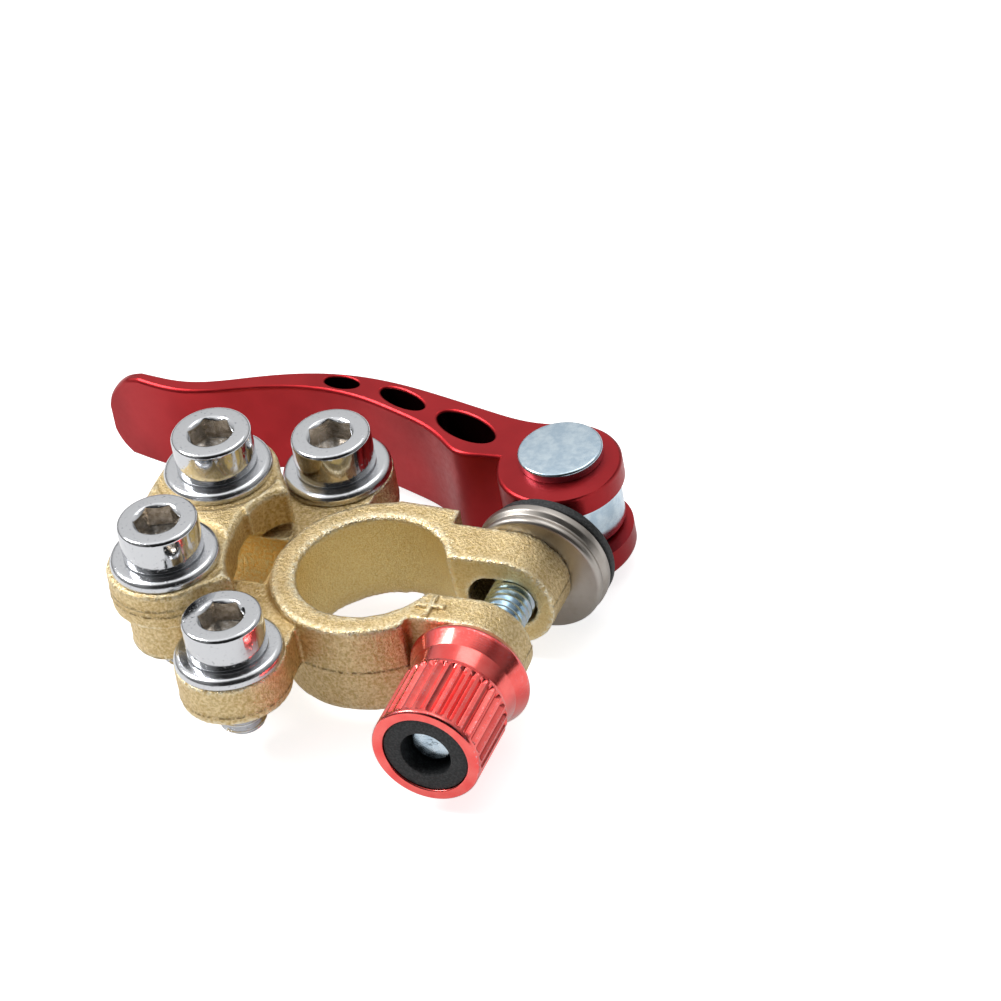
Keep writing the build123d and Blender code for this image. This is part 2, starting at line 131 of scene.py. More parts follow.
def placed(grid, origin, x_dir=(1, 0, 0), z_dir=(0, 0, 1)):
    """The grid in its place: origin + x X + y (Z cross X) + z Z for each of its points."""
    x_dir, z_dir = np.array(x_dir, float), np.array(z_dir, float)
    return grid @ np.stack([x_dir, np.cross(z_dir, x_dir), z_dir]) + np.array(origin, float)


def along_rod(grid):
    """A shape turned about +Z, laid along the clamp rod so that its height runs up +Y."""
    return placed(grid, (ROD_X, 0, ROD_Z), x_dir=(1, 0, 0), z_dir=(0, 1, 0))


def strip(grid, lead=0, shade=0.0):
    """A grid with the rows its columns climb in a turn, and one shade or a shade for each point."""
    return grid, lead, np.broadcast_to(np.asarray(shade, float), grid.shape[:2])


def woven(name, strips, crease=40):
    """One closed mesh from strips of points in mm, each grid being (rows, columns, 3).

    Quads join point (i, j) to (i+1, j+1). The last column closes on the first, as many rows
    further on as the strip's lead, and rows that meet or shrink to a pole are merged.
    """
    points, quads, shades, first = [], [], [], 0
    for grid, lead, shade in strips:
        rows, columns = grid.shape[:2]
        index = np.arange(rows * columns).reshape(rows, columns) + first
        beside = np.roll(index, -1, axis=1)
        beside[:, -1] = index[np.minimum(np.arange(rows) + lead, rows - 1), 0]
        corners = (index[:-1], beside[:-1], beside[1:], index[1:])
        quads.append(np.stack(corners, axis=-1).reshape(-1, 4))
        points.append(grid.reshape(-1, 3))
        shades.append(shade.reshape(-1))
        first += rows * columns
    mesh = bpy.data.meshes.new(name)
    mesh.from_pydata((np.concatenate(points) * MM).tolist(), [], np.concatenate(quads).tolist())
    marked(mesh, "shade", np.concatenate(shades))
    piece = bpy.data.objects.new(name, mesh)
    bpy.context.scene.collection.objects.link(piece)
    closed(mesh, crease)
    return piece


def marked(mesh, name, values):
    """Keeps one number for each point on the mesh, for its finish to read."""
    layer = mesh.attributes.get(name) or mesh.attributes.new(name, "FLOAT", "POINT")
    layer.data.foreach_set("value", np.asarray(values, np.float32))


def read_points(mesh):
    """A mesh's points and their normals, in mm."""
    points = np.empty(len(mesh.vertices) * 3, np.float32)
    mesh.vertices.foreach_get("co", points)
    normals = np.empty(len(mesh.vertices) * 3, np.float32)
    mesh.vertices.foreach_get("normal", normals)
    return points.reshape(-1, 3).astype(float) / MM, normals.reshape(-1, 3).astype(float)


def closed(mesh, crease=40):
    """Merges doubled points, turns every face outwards and smooths all but the creased edges."""
    made = bmesh.new()
    made.from_mesh(mesh)
    bmesh.ops.remove_doubles(made, verts=made.verts, dist=0.0005 * MM)
    bmesh.ops.recalc_face_normals(made, faces=made.faces)
    made.to_mesh(mesh)
    made.free()
    mesh.shade_smooth()
    mesh.set_sharp_from_angle(angle=radians(crease))


def settle(piece, body, slot, material, *nodes):
    """Gives a piece its finish and its body, and lets it stand for its CAD nodes."""
    piece.data.materials.clear()
    piece.data.materials.append(material)
    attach(piece, body)
    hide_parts(*nodes)


def applied(piece, kind, **settings):
    """Runs one modifier on a piece and keeps what it makes."""
    modifier = piece.modifiers.new(kind.lower(), kind)
    for key, value in settings.items():
        setattr(modifier, key, value)
    bpy.context.view_layer.update()
    graph = bpy.context.evaluated_depsgraph_get()
    mesh = bpy.data.meshes.new_from_object(piece.evaluated_get(graph))
    piece.modifiers.clear()
    old, piece.data = piece.data, mesh
    bpy.data.meshes.remove(old)
    return piece


# ---- finishes -------------------------------------------------------------------------
RANGE_ENDS = ("From Min", "From Max", "To Min", "To Max")


class Nodes:
    """A node tree in the making."""

    def __init__(self, tree):
        self.nodes = tree.nodes
        self.links = tree.links

    def add(self, kind, **settings):
        """A new shader node with its own settings."""
        node = self.nodes.new("ShaderNode" + kind)
        for key, value in settings.items():
            setattr(node, key, value)
        return node

    def feed(self, socket, value):
        """Links a socket to another node's, or sets it to a plain value."""
        if isinstance(value, bpy.types.NodeSocket):
            self.links.new(value, socket)
        elif isinstance(value, tuple) and len(value) == 3 and socket.type == "RGBA":
            socket.default_value = (*value, 1.0)
        else:
            socket.default_value = value

    def mathed(self, operation, a, b=0.0):
        """One sum on a, or on a and b."""
        node = self.add("Math", operation=operation)
        self.feed(node.inputs[0], a)
        self.feed(node.inputs[1], b)
        return node.outputs[0]

    def dotted(self, vector, direction):
        """How far a vector points along a direction."""
        node = self.add("VectorMath", operation="DOT_PRODUCT")
        self.links.new(vector, node.inputs[0])
        node.inputs[1].default_value = direction
        return node.outputs["Value"]

    def ranged(self, value, low, high, to_low=0.0, to_high=1.0, curve="LINEAR"):
        """value, with low..high stretched to to_low..to_high and held at the ends."""
        node = self.add("MapRange", clamp=True, interpolation_type=curve)
        for key, number in zip(RANGE_ENDS, (low, high, to_low, to_high)):
            node.inputs[key].default_value = number
        self.links.new(value, node.inputs["Value"])
        return node.outputs[0]

    def mixed(self, amount, a, b):
        """Colour a turning into colour b with amount."""
        node = self.add("Mix", data_type="RGBA")
        self.feed(node.inputs[0], amount)
        self.feed(node.inputs[6], a)
        self.feed(node.inputs[7], b)
        return node.outputs[2]


class Finish(Nodes):
    """A surface material in the making, on Object coordinates in metres."""

    def __init__(self, name):
        self.material = bpy.data.materials.new(name)
        self.material.use_nodes = True
        super().__init__(self.material.node_tree)
        self.shader = self.nodes["Principled BSDF"]
        self.place = self.add("TexCoord").outputs["Object"]

    def noise(self, per_mm, detail=2.0, rough=0.5, where=None, stretch=(1, 1, 1)):
        """Noise of so many features to the millimetre, 0 to 1."""
        spread = self.add("Mapping", vector_type="POINT")
        spread.inputs["Scale"].default_value = stretch
        self.links.new(where or self.place, spread.inputs["Vector"])
        node = self.add("TexNoise")
        self.links.new(spread.outputs[0], node.inputs["Vector"])
        node.inputs["Scale"].default_value = per_mm / MM
        node.inputs["Detail"].default_value = detail
        node.inputs["Roughness"].default_value = rough
        return node.outputs[0]

    def mark(self, name):
        """The number that a mesh keeps for each of its points."""
        return self.add("Attribute", attribute_name=name).outputs["Fac"]

    def bump(self, height, depth, strength=1.0, onto=None):
        """Raises the surface by height times depth, in millimetres."""
        node = self.add("Bump")
        node.inputs["Strength"].default_value = strength
        node.inputs["Distance"].default_value = depth * MM
        self.links.new(height, node.inputs["Height"])
        if onto is not None:
            self.links.new(onto, node.inputs["Normal"])
        return node.outputs[0]

    def done(self, colour, metallic, roughness, normal, **sockets):
        """Feeds the shader, sets any further sockets to plain values and hands the material on."""
        self.feed(self.shader.inputs["Base Color"], colour)
        self.feed(self.shader.inputs["Metallic"], metallic)
        self.feed(self.shader.inputs["Roughness"], roughness)
        self.links.new(normal, self.shader.inputs["Normal"])
        for key, value in sockets.items():
            self.shader.inputs[key.replace("_", " ")].default_value = value
        return self.material


def cast_brass():
    """Sand-cast brass: coarse bright grain, burnished edges, and painted light, brighter and amber,
    down the bore, slot and channel.

    The mould joints show as broken dark lines, and inside corners are darkened with painted shade.
    """
    f = Finish("cast_brass")
    hollow, edge = f.mark("hollow"), f.mark("edge")
    grain = f.noise(2.6, 3.0, 0.65)
    sand = f.noise(5.5, 2.0, 0.6)
    cloud = f.noise(0.25, 3.0, 0.6)
    tone = f.mixed(f.ranged(cloud, 0.35, 0.68), (0.73, 0.52, 0.23), (0.84, 0.64, 0.32))
    speck = f.mixed(f.ranged(grain, 0.38, 0.64), (0.42, 0.28, 0.09), (1.0, 0.86, 0.56))
    skin = f.mixed(0.5, tone, speck)
    # Painted light: the bore, the slot and the cable's channel get a brighter, amber colour that
    # stands in for light bouncing inside them.
    bore = f.mixed(f.ranged(sand, 0.35, 0.65), (0.82, 0.62, 0.25), (1.0, 0.86, 0.46))
    amber = f.mixed(f.ranged(grain, 0.35, 0.65), (0.94, 0.66, 0.26), (1.0, 0.90, 0.60))
    skin = f.mixed(f.ranged(hollow, 0.0, 0.5), skin, bore)
    skin = f.mixed(f.ranged(hollow, 0.5, 1.0), skin, amber)
    rubbed = f.ranged(f.noise(2.2, 3.0, 0.7), 0.42, 0.56)
    worn = f.mathed("MULTIPLY", f.ranged(edge, 0.0, 1.0), rubbed)
    skin = f.mixed(f.mathed("MULTIPLY", worn, 0.75), skin, (1.0, 0.93, 0.72))
    # Painted shade: points sunk below their neighbours, in inside corners, turn dark brown.
    skin = f.mixed(f.ranged(edge, -0.1, -1.0, 0.0, 0.45), skin, (0.40, 0.24, 0.08))
    broken_up = f.ranged(f.noise(1.6, 3.0, 0.7), 0.42, 0.54)
    seam = f.mathed("MULTIPLY", f.mark("seam"), broken_up)
    skin = f.mixed(f.mathed("MULTIPLY", seam, 0.85), skin, (0.12, 0.065, 0.02))
    dull = f.ranged(f.noise(1.8, 3.0), 0.3, 0.7, 0.34, 0.50)
    rough = f.mathed("SUBTRACT", dull, f.mathed("MULTIPLY", worn, 0.14))
    normal = f.bump(sand, 0.09, 0.9, f.bump(grain, 0.22, 0.9))
    return f.done(skin, 1.0, rough, f.bump(seam, -0.12, 0.8, normal))


def chrome_plate(name, low, high):
    """Chrome with faint waviness and specks, rough from low to high, and thin plate in sockets."""
    f = Finish(name)
    inside = f.mark("shade")
    speck = f.noise(2.6, 2.0, 0.6)
    plate = f.mixed(f.ranged(speck, 0.62, 0.75), (0.66, 0.67, 0.69), (0.46, 0.47, 0.50))
    thin = f.mixed(f.ranged(f.noise(1.6, 3.0), 0.35, 0.65), (0.50, 0.44, 0.37), (0.82, 0.79, 0.75))
    colour = f.mixed(inside, plate, thin)
    dull = f.ranged(f.noise(0.5, 2.0), 0.3, 0.7, low, high)
    rough = f.mathed("ADD", dull, f.mathed("MULTIPLY", inside, 0.14))
    normal = f.bump(f.noise(0.7, 2.0), 0.03, 0.5, f.bump(f.ranged(speck, 0.60, 0.8), 0.03, 0.6))
    return f.done(colour, 1.0, rough, normal)


def zinc_plate():
    """Blue-bright zinc: pale and faintly mottled, with a few dark scratches."""
    f = Finish("zinc_plate")
    bloom = f.noise(0.8, 3.0, 0.6)
    colour = f.mixed(f.ranged(bloom, 0.38, 0.66), (0.50, 0.63, 0.74), (0.68, 0.80, 0.88))
    wander = f.noise(0.9, 2.0, 0.5, stretch=(0.5, 1.0, 1.6))
    scratch = f.mathed("ABSOLUTE", f.mathed("SUBTRACT", wander, 0.5))
    scratch = f.mathed("MULTIPLY", f.ranged(scratch, 0.0, 0.022, 0.9, 0.0), f.mark("shade"))
    colour = f.mixed(scratch, colour, (0.05, 0.06, 0.07))
    rough = f.ranged(f.noise(1.5, 3.0), 0.3, 0.7, 0.13, 0.24)
    return f.done(colour, 1.0, rough, f.bump(bloom, 0.012, 0.6))


def red_lever_anodise():
    """Satin red anodising over blasted aluminium, with painted shade, nearly black, down in the
    lightening holes.
    """
    f = Finish("red_lever_anodise")
    blast = f.noise(6.0, 2.0, 0.5)
    cloud = f.noise(0.12, 2.0)
    colour = f.mixed(f.ranged(cloud, 0.35, 0.65), (0.35, 0.012, 0.016), (0.44, 0.019, 0.024))
    # Painted shade: the walls inside the lightening holes are painted nearly black.
    colour = f.mixed(f.mark("inner"), colour, (0.035, 0.003, 0.005))
    rough = f.ranged(f.noise(1.4, 2.0), 0.3, 0.7, 0.32, 0.42)
    coat = {"Coat_Weight": 0.12, "Coat_Roughness": 0.2}
    return f.done(colour, 0.9, rough, f.bump(blast, 0.012, 0.6), **coat)


def red_nut_anodise():
    """Glossy red anodising over turned aluminium, worn pale on its edges and scored by the tool."""
    f = Finish("red_nut_anodise")
    score = f.noise(9.0, 1.0, 0.4, stretch=(0.06, 1.0, 0.06))
    cloud = f.ranged(f.noise(0.4, 2.0), 0.35, 0.65)
    colour = f.mixed(cloud, (0.95, 0.085, 0.075), (1.0, 0.150, 0.130))
    worn = f.ranged(f.noise(2.6, 3.0, 0.7), 0.54, 0.62)
    chips = f.mathed("MULTIPLY", f.mark("shade"), worn)
    colour = f.mixed(f.mathed("MULTIPLY", chips, 0.75), colour, (0.74, 0.60, 0.72))
    rough = f.ranged(f.noise(1.5, 2.0), 0.3, 0.7, 0.15, 0.23)
    coat = {"Coat_Weight": 0.8, "Coat_Roughness": 0.06}
    return f.done(colour, 1.0, rough, f.bump(score, 0.006, 0.6), **coat)


def polished_steel():
    """Turned steel polished to a warm grey, banded round its axis, with dull stains."""
    f = Finish("polished_steel")
    stain = f.noise(0.45, 4.0, 0.65)
    along = f.add("CombineXYZ")
    f.links.new(f.mark("shade"), along.inputs[0])
    bands = f.noise(0.0035, 3.0, 0.7, where=along.outputs[0])
    colour = f.mixed(f.ranged(bands, 0.3, 0.7), (0.37, 0.34, 0.31), (0.56, 0.52, 0.48))
    colour = f.mixed(f.ranged(stain, 0.45, 0.70, 0.0, 0.5), colour, (0.36, 0.31, 0.26))
    rough = f.ranged(f.noise(0.9, 3.0), 0.3, 0.7, 0.30, 0.38)
    return f.done(colour, 1.0, rough, f.bump(bands, 0.006, 0.6))


def black_plastic():
    """Moulded black plastic with a fine spark-eroded grain, and painted shade that makes it blacker
    inside its bore.
    """
    f = Finish("black_plastic")
    grain = f.noise(3.5, 3.0, 0.6)
    colour = f.mixed(f.ranged(grain, 0.42, 0.72), (0.014, 0.015, 0.016), (0.062, 0.066, 0.068))
    # Painted shade: the marked bore wall is painted near black.
    colour = f.mixed(f.mark("shade"), colour, (0.004, 0.004, 0.004))
    return f.done(colour, 0.0, 0.5, f.bump(grain, 0.04, 0.7), Specular_IOR_Level=0.35)


BRASS = cast_brass()
CHROME = chrome_plate("chrome_plate", 0.07, 0.12)
TUMBLED_CHROME = chrome_plate("tumbled_chrome", 0.17, 0.25)
ZINC = zinc_plate()
LEVER_RED = red_lever_anodise()
NUT_RED = red_nut_anodise()
STEEL = polished_steel()
PLASTIC = black_plastic()


# ---- edges, threads and sockets ---------------------------------------------------------
# A broken corner, as shares of its size back along one side and on along the other: three short
# flats, each turned by about a quarter of the corner.
BROKEN = np.array([(1.0, 0.0), (0.555, 0.208), (0.208, 0.555), (0.0, 1.0)])


def ring_of(section):
    """A closed section, with its first point repeated at the end, for turning into a ring."""
    return np.concatenate([section, section[:1]])


def helix(low, high, columns):
    """A right-hand M6 thread between two heights, as a strip whose rows climb one pitch a turn.

    Row i stands at phase i / steps. Its radius is the crest's less the depth times
    clip((p - 1/16) / (5/16)), p being the distance to the nearest crest, and both ends run out
    to a cone.
    """
    steps = 16
    root = M6_R - THREAD_DEPTH
    rows = int(np.ceil((high - low) / PITCH * steps)) + steps + 1
    a = np.linspace(0, 1, columns, endpoint=False)[None, :]
    i = np.arange(rows)[:, None]
    h = np.clip(low - PITCH + i * PITCH / steps + a * PITCH, low, high)
    crest = np.abs((i / steps + 0.5) % 1.0 - 0.5)
    r = M6_R - THREAD_DEPTH * np.clip((crest - 1 / 16) / (5 / 16), 0, 1)
    r = np.minimum(r, root + (h - low))
    r = np.where(h >= high, M6_R, r)
    turn = a * TURN
    grid = np.stack([r * np.cos(turn), r * np.sin(turn), h], axis=-1)
    grid[:, :, :2] *= np.where(h <= low, root / np.maximum(r, 1e-6), 1.0)[..., None]
    return grid, steps


HEX_HALF = 2.5              # half the socket's width across flats


def hexagon(columns):
    """Distance to a hexagon's side all round: half its width / cos(angle from the flat)."""
    a = np.linspace(0, TURN, columns, endpoint=False)
    return HEX_HALF / np.cos((a % (TURN / 6)) - TURN / 12)


# ---- screws and washers ---------------------------------------------------------------
def socket_screw(name, x, y, seat, length, twist):
    """M6 socket screw: a helix below, and a turned head with a hexagon sunk into it.

    The socket's rows stand at the hexagon's own distance for each angle, and its countersink's
    depth is 0.62 times the distance left to the brim.
    """
    columns = 96
    head_r, head_h, socket_d = 5.0, 4.9, 3.0
    thread, lead = helix(-length, -0.9, columns)
    tip = turned([(0, -length), (M6_R - THREAD_DEPTH, -length)], columns)
    outside = eased(
        [(M6_R, -0.9), (M6_R, 0), (4.75, 0), (head_r, 0.25), (head_r, head_h), (3.2, head_h)],
        [0, 0, 0.05, 0.1, 0.55, 0], 6,
    )[5:]
    sides = hexagon(columns)
    a = np.linspace(0, TURN, columns, endpoint=False)
    brim, floor = 3.04, head_h - socket_d
    sunk = head_h - 0.62 * (brim - sides)
    rows = [
        (sides * 0 + brim, sides * 0 + head_h),
        (sides * 0 + brim - 0.06, sides * 0 + head_h - 0.02),
        (sides + 0.03, sunk),
        (sides, sunk - 0.04),
        (sides, sides * 0 + floor + 0.1),
        (sides - 0.1, sides * 0 + floor),
        (sides * 0.5, sides * 0 + floor - 0.25),
        (sides * 0, sides * 0 + floor - 0.5),
    ]
    inside = np.array([np.stack([r * np.cos(a), r * np.sin(a), h], 1) for r, h in rows])
    head = np.concatenate([turned(outside, columns), inside])
    dark = np.concatenate([np.zeros(len(outside) + 3), np.ones(len(rows) - 3)])
    t = radians(twist)
    where = dict(origin=(x, y, seat + WASHER_T), x_dir=(np.cos(t), np.sin(t), 0))
    return woven(name, [
        strip(placed(tip, **where)), strip(placed(thread, **where), lead),
        strip(placed(head, **where), 0, dark[:, None]),
    ], 28)


def plain_washer(name, x, y, seat):
    """Thick plain washer, a ring with a rolled outer edge: rounded rectangle turned about +Z."""
    ring = eased(
        [(4.5, 0), (6.8, 0), (6.8, WASHER_T), (3.2, WASHER_T), (3.2, 0), (4.5, 0)],
        [0, 0.22, 0.85, 0.12, 0.12, 0], 9,
    )
    return woven(name, [strip(placed(turned(ring, 128), (x, y, seat)))])


TWISTS = {"cable_screw_far": 8, "cable_screw_near": 20, "side_screw_far": -4, "side_screw_near": 12}
for name, (x, y, seat, length) in SCREW_PLACES.items():
    screw = socket_screw(name + "_turned", x, y, seat, length, TWISTS[name])
    settle(screw, "clamp", "chrome_plate", CHROME, name)
    under = name.replace("screw", "washer")
    washer = plain_washer(under + "_turned", x, y, seat)
    settle(washer, "clamp", "chrome_plate", TUMBLED_CHROME, under)


# ---- rod, nut and insert ----------------------------------------------------------------
def rod_and_eye():
    """Threaded rod, a helix along Y, joined to a turned eye about the pivot."""
    columns = 96
    thread_end, neck_end = 9.0, 18.5
    thread, lead = helix(ROD_END_Y, thread_end, columns)
    tip = turned([(0, ROD_END_Y), (M6_R - THREAD_DEPTH, ROD_END_Y)], columns)
    plain = turned([(M6_R, thread_end), (M6_R, neck_end), (0, neck_end)], columns)
    rod = woven("clamp_rod_threaded", [
        strip(along_rod(tip), 0, 1.0), strip(along_rod(thread), lead), strip(along_rod(plain)),
    ], 28)
    r, half = 6.6, 3.55
    ring = eased(
        [(4.5, -half), (r, -half), (r, half), (3.05, half), (3.05, -half), (4.5, -half)],
        [0, 0.7, 0.7, 0.2, 0.2, 0], 7,
    )
    eye = woven("eye_turned", [strip(placed(turned(ring, 128), (ROD_X, PIN_Y, ROD_Z)))])
    applied(rod, "BOOLEAN", operation="UNION", object=eye, solver="EXACT")
    bpy.data.objects.remove(eye)
    closed(rod.data, 28)
    return rod


def fluted_nut():
    """Thumb nut: a flared flange, a waist, and a grip whose V flutes stop short of its front.

    The grip's radius is R - 0.44 * g, where g falls from 1 at a flute's middle to 0 at 0.5 mm
    either side of it, and is eased in over the last half millimetre at both ends. The shade is a
    bell round each edge that wears: the brim, the flutes' shoulders and the flange's rim.
    """
    flutes, columns = 32, 32 * 24
    back, front, bore = NUT_BACK_Y, NUT_FRONT_Y, 3.01
    outline = eased(
        [
            (bore, back), (6.6, back), (7.8, back - 1.7), (6.75, back - 3.9), (6.45, back - 6.3),
            (GRIP_R, back - 7.1), (GRIP_R, back - 7.6),
        ],
        [0, 0.25, 0.7, 0.25, 0.25, 0.2, 0], 7,
    )[6:]
    grip = np.stack([np.full(40, GRIP_R), np.linspace(back - 7.7, front + 0.5, 40)], 1)
    face = eased(
        [
            (GRIP_R, front + 0.5), (GRIP_R, front), (5.42, front), (5.42, front + 6.25),
            (bore, front + 6.25), (bore, back),
        ],
        [0, 0.42, 0.22, 0.1, 0.1, 0], 6,
    )[6:]
    profile = np.concatenate([outline, grip, face])
    a = np.linspace(0, flutes, columns, endpoint=False)
    off = np.abs((a + 0.5) % 1.0 - 0.5) * TURN * GRIP_R / flutes
    groove = np.clip(1 - off / 0.50, 0, 1)[None, :]
    groove = groove * (1.35 - 0.35 * groove)
    r, y = profile[:, :1], profile[:, 1:]
    cut = np.clip((back - 6.9 - y) / 0.6, 0, 1) * np.clip((y - front - 0.62) / 0.5, 0, 1)
    cut = cut * cut * (3 - 2 * cut) * (r > 6.7)
    swell = r - 0.44 * groove * cut
    brim = np.exp(-(((y - front - 0.22) / 0.10) ** 2)) * (r > 6.5)
    shoulder = np.exp(-(((off[None, :] - 0.43) / 0.10) ** 2)) * cut
    collar = np.exp(-(((y - back + 1.7) / 0.5) ** 2)) * (r > 7.4)
    shade = np.clip(brim + 0.4 * shoulder + 0.4 * collar, 0, 1)
    grid = along_rod(turned(profile, columns, swell))
    return woven("thumb_nut_fluted", [strip(ring_of(grid), 0, ring_of(shade))], 24)


def lock_ring():
    """Black locking insert: a turned ring with its bore's rim broken."""
    face = NUT_FRONT_Y + 0.25
    ring = eased(
        [(4.4, face), (5.38, face), (5.38, face + 6), (3.2, face + 6), (3.2, face), (4.4, face)],
        [0, 0.14, 0.1, 0.1, 0.15, 0], 5,
    )
    # Marks the bore wall beyond the face, where the black finish paints shade.
    inside = np.clip((face + 0.4 - ring[:, 1]) / -0.3, 0, 1) * (ring[:, 0] < 3.5)
    return woven("lock_insert_ring", [strip(along_rod(turned(ring, 96)), 0, inside[:, None])])


settle(rod_and_eye(), "rod", "zinc_plate", ZINC, "clamp_rod")
settle(fluted_nut(), "nut", "red_nut_anodise", NUT_RED, "thumb_nut")
settle(lock_ring(), "nut", "black_plastic", PLASTIC, "lock_insert")


# ---- cup, saddle and pin -------------------------------------------------------------------
def stepped_cup():
    """Pressed steel cup: a stepped wall of even thickness, turned about its own axis."""
    wall = eased(
        [
            (5.5, 9.7), (8.35, 9.7), (8.35, 10.5), (8.05, 11.15), (8.57, 11.75), (8.57, 12.8),
            (7.77, 12.8), (7.77, 11.6), (7.5, 10.5), (4.15, 10.5), (4.15, 9.7), (5.5, 9.7),
        ],
        [0, 0.6, 0.3, 0.3, 0.4, 0.3, 0.2, 0.3, 0.3, 0.12, 0.12, 0], 8,
    )
    length = run_of(wall) * MM
    grid = placed(turned(wall, 192), (CUP_X, 0, CUP_Z), x_dir=(1, 0, 0), z_dir=(0, 1, 0))
    return woven("cup_washer_pressed", [strip(grid, 0, length[:, None])], 30)


def cam_cradle():
    """Black saddle: a turned spigot and flange, its end cut to the cam's round.

    A point at radius r moves by (1.2, 0.6) * clip((r - 6.4) / 1.8) off the rod's axis, which
    sets the flange behind the cup. Its height is at most the cam centre's less
    sqrt(R^2 - x^2), x being how far across from the cam's centre it lies.
    """
    columns = 192
    plug = eased(
        [(3.3, 10.8), (6.4, 10.8), (6.4, 13.1), (8.2, 13.1), (8.2, 14.35), (7.9, 14.5)],
        [0.15, 0.25, 0.1, 0.25, 0.1, 0], 5,
    )
    spread = np.linspace(7.9, 3.3, 47)
    height = np.minimum(14.5 + (7.9 - spread) * 0.8, 15.8)
    profile = np.concatenate([plug, np.stack([spread, height], 1), plug[:1]])
    grid = turned(profile, columns)
    off = np.clip((profile[:, :1] - 6.4) / 1.8, 0, 1)
    grid[..., :2] += off[..., None] * (1.2, 0.6)
    side = CAM_X - ROD_X
    across = np.clip(CRADLE_R**2 - (grid[..., 0] - side) ** 2, 0, None)
    grid[..., 2] = np.minimum(grid[..., 2], CAM_Y - np.sqrt(across))
    return woven("cam_saddle_moulded", [strip(along_rod(grid))], 30)


def pivot_pin():
    """Pivot pin: flat head with a broken edge above, a shank and a slightly domed end below."""
    outline = eased(
        [
            (0, LEVER_Z - 0.02), (2.6, LEVER_Z - 0.02), (3.0, LEVER_Z + 0.4), (3.0, LEVER_TOP),
            (5.3, LEVER_TOP), (5.3, LEVER_TOP + 1.3), (0, LEVER_TOP + 1.3),
        ],
        [0, 0.15, 0.1, 0, 0.1, 0.35, 0], 6,
    )
    return woven("pivot_pin_headed", [strip(placed(turned(outline, 128), (ROD_X, PIN_Y, 0)))], 30)


settle(stepped_cup(), "clamp", "polished_steel", STEEL, "cup_washer")
settle(cam_cradle(), "rod", "black_plastic", PLASTIC, "cam_saddle")
settle(pivot_pin(), "lever", "zinc_plate", ZINC, "pivot_pin")


# ---- cam lever ---------------------------------------------------------------------------------
def flowing(points, count):
    """A natural cubic spline through points, by chord length, at count even steps.

    Between knots i and i+1 of spacing h it is the cubic with second derivatives M at its ends,
    where h M' + 2 (h + h') M + h' M'' equals six times the change of slope.
    """
    points = np.asarray(points, float)
    knots = run_of(points)
    h = np.diff(knots)
    slope = np.diff(points, axis=0) / h[:, None]
    system = np.eye(len(points))
    inner = np.arange(1, len(points) - 1)
    system[inner, inner] = 2 * (h[:-1] + h[1:])
    system[inner, inner - 1] = h[:-1]
    system[inner, inner + 1] = h[1:]
    right = np.zeros_like(points)
    right[1:-1] = 6 * np.diff(slope, axis=0)
    bend = np.linalg.solve(system, right)
    t = np.linspace(0, knots[-1], count)
    k = np.clip(np.searchsorted(knots, t, side="right") - 1, 0, len(h) - 1)
    b = ((t - knots[k]) / h[k])[:, None]
    a, step = 1 - b, h[k][:, None]
    curve = (a**3 - a) * bend[k] + (b**3 - b) * bend[k + 1]
    return a * points[k] + b * points[k + 1] + curve * step**2 / 6


def evenly(path, shares):
    """Points at given shares of a path's length."""
    run = run_of(path)
    at = np.asarray(shares) * run[-1]
    return np.stack([np.interp(at, run, path[:, 0]), np.interp(at, run, path[:, 1])], 1)


CAM_R = 7.78
FRONT_EDGE = [
    (10.2, 22.3), (6.0, 22.2), (2.6, 22.3), (-0.4, 24.4), (-3.9, 26.7), (-8.0, 28.4), (-13.0, 30.1),
    (-20.5, 31.0), (-28.3, 29.7), (-37.0, 27.6), (-42.6, 28.4), (-49.05, 30.3),
]
BACK_EDGE = [
    (-49.3, 31.2), (-42.8, 30.3), (-37.0, 29.8), (-28.8, 32.1), (-20.5, 34.3), (-13.0, 34.5),
    (-3.9, 32.9), (4.0, 30.9), (10.0, 29.8), (16.3, 30.3),
]
TIP_X = -49.3
TIP_ROUND = [
    (-46.9, LEVER_Z), (-48.25, 1.0), (-49.05, 2.7), (TIP_X, 4.6), (-49.15, 6.6), (-48.5, 8.6),
    (-47.2, 10.5), (-45.4, 12.1), (-43.4, LEVER_TOP),
]


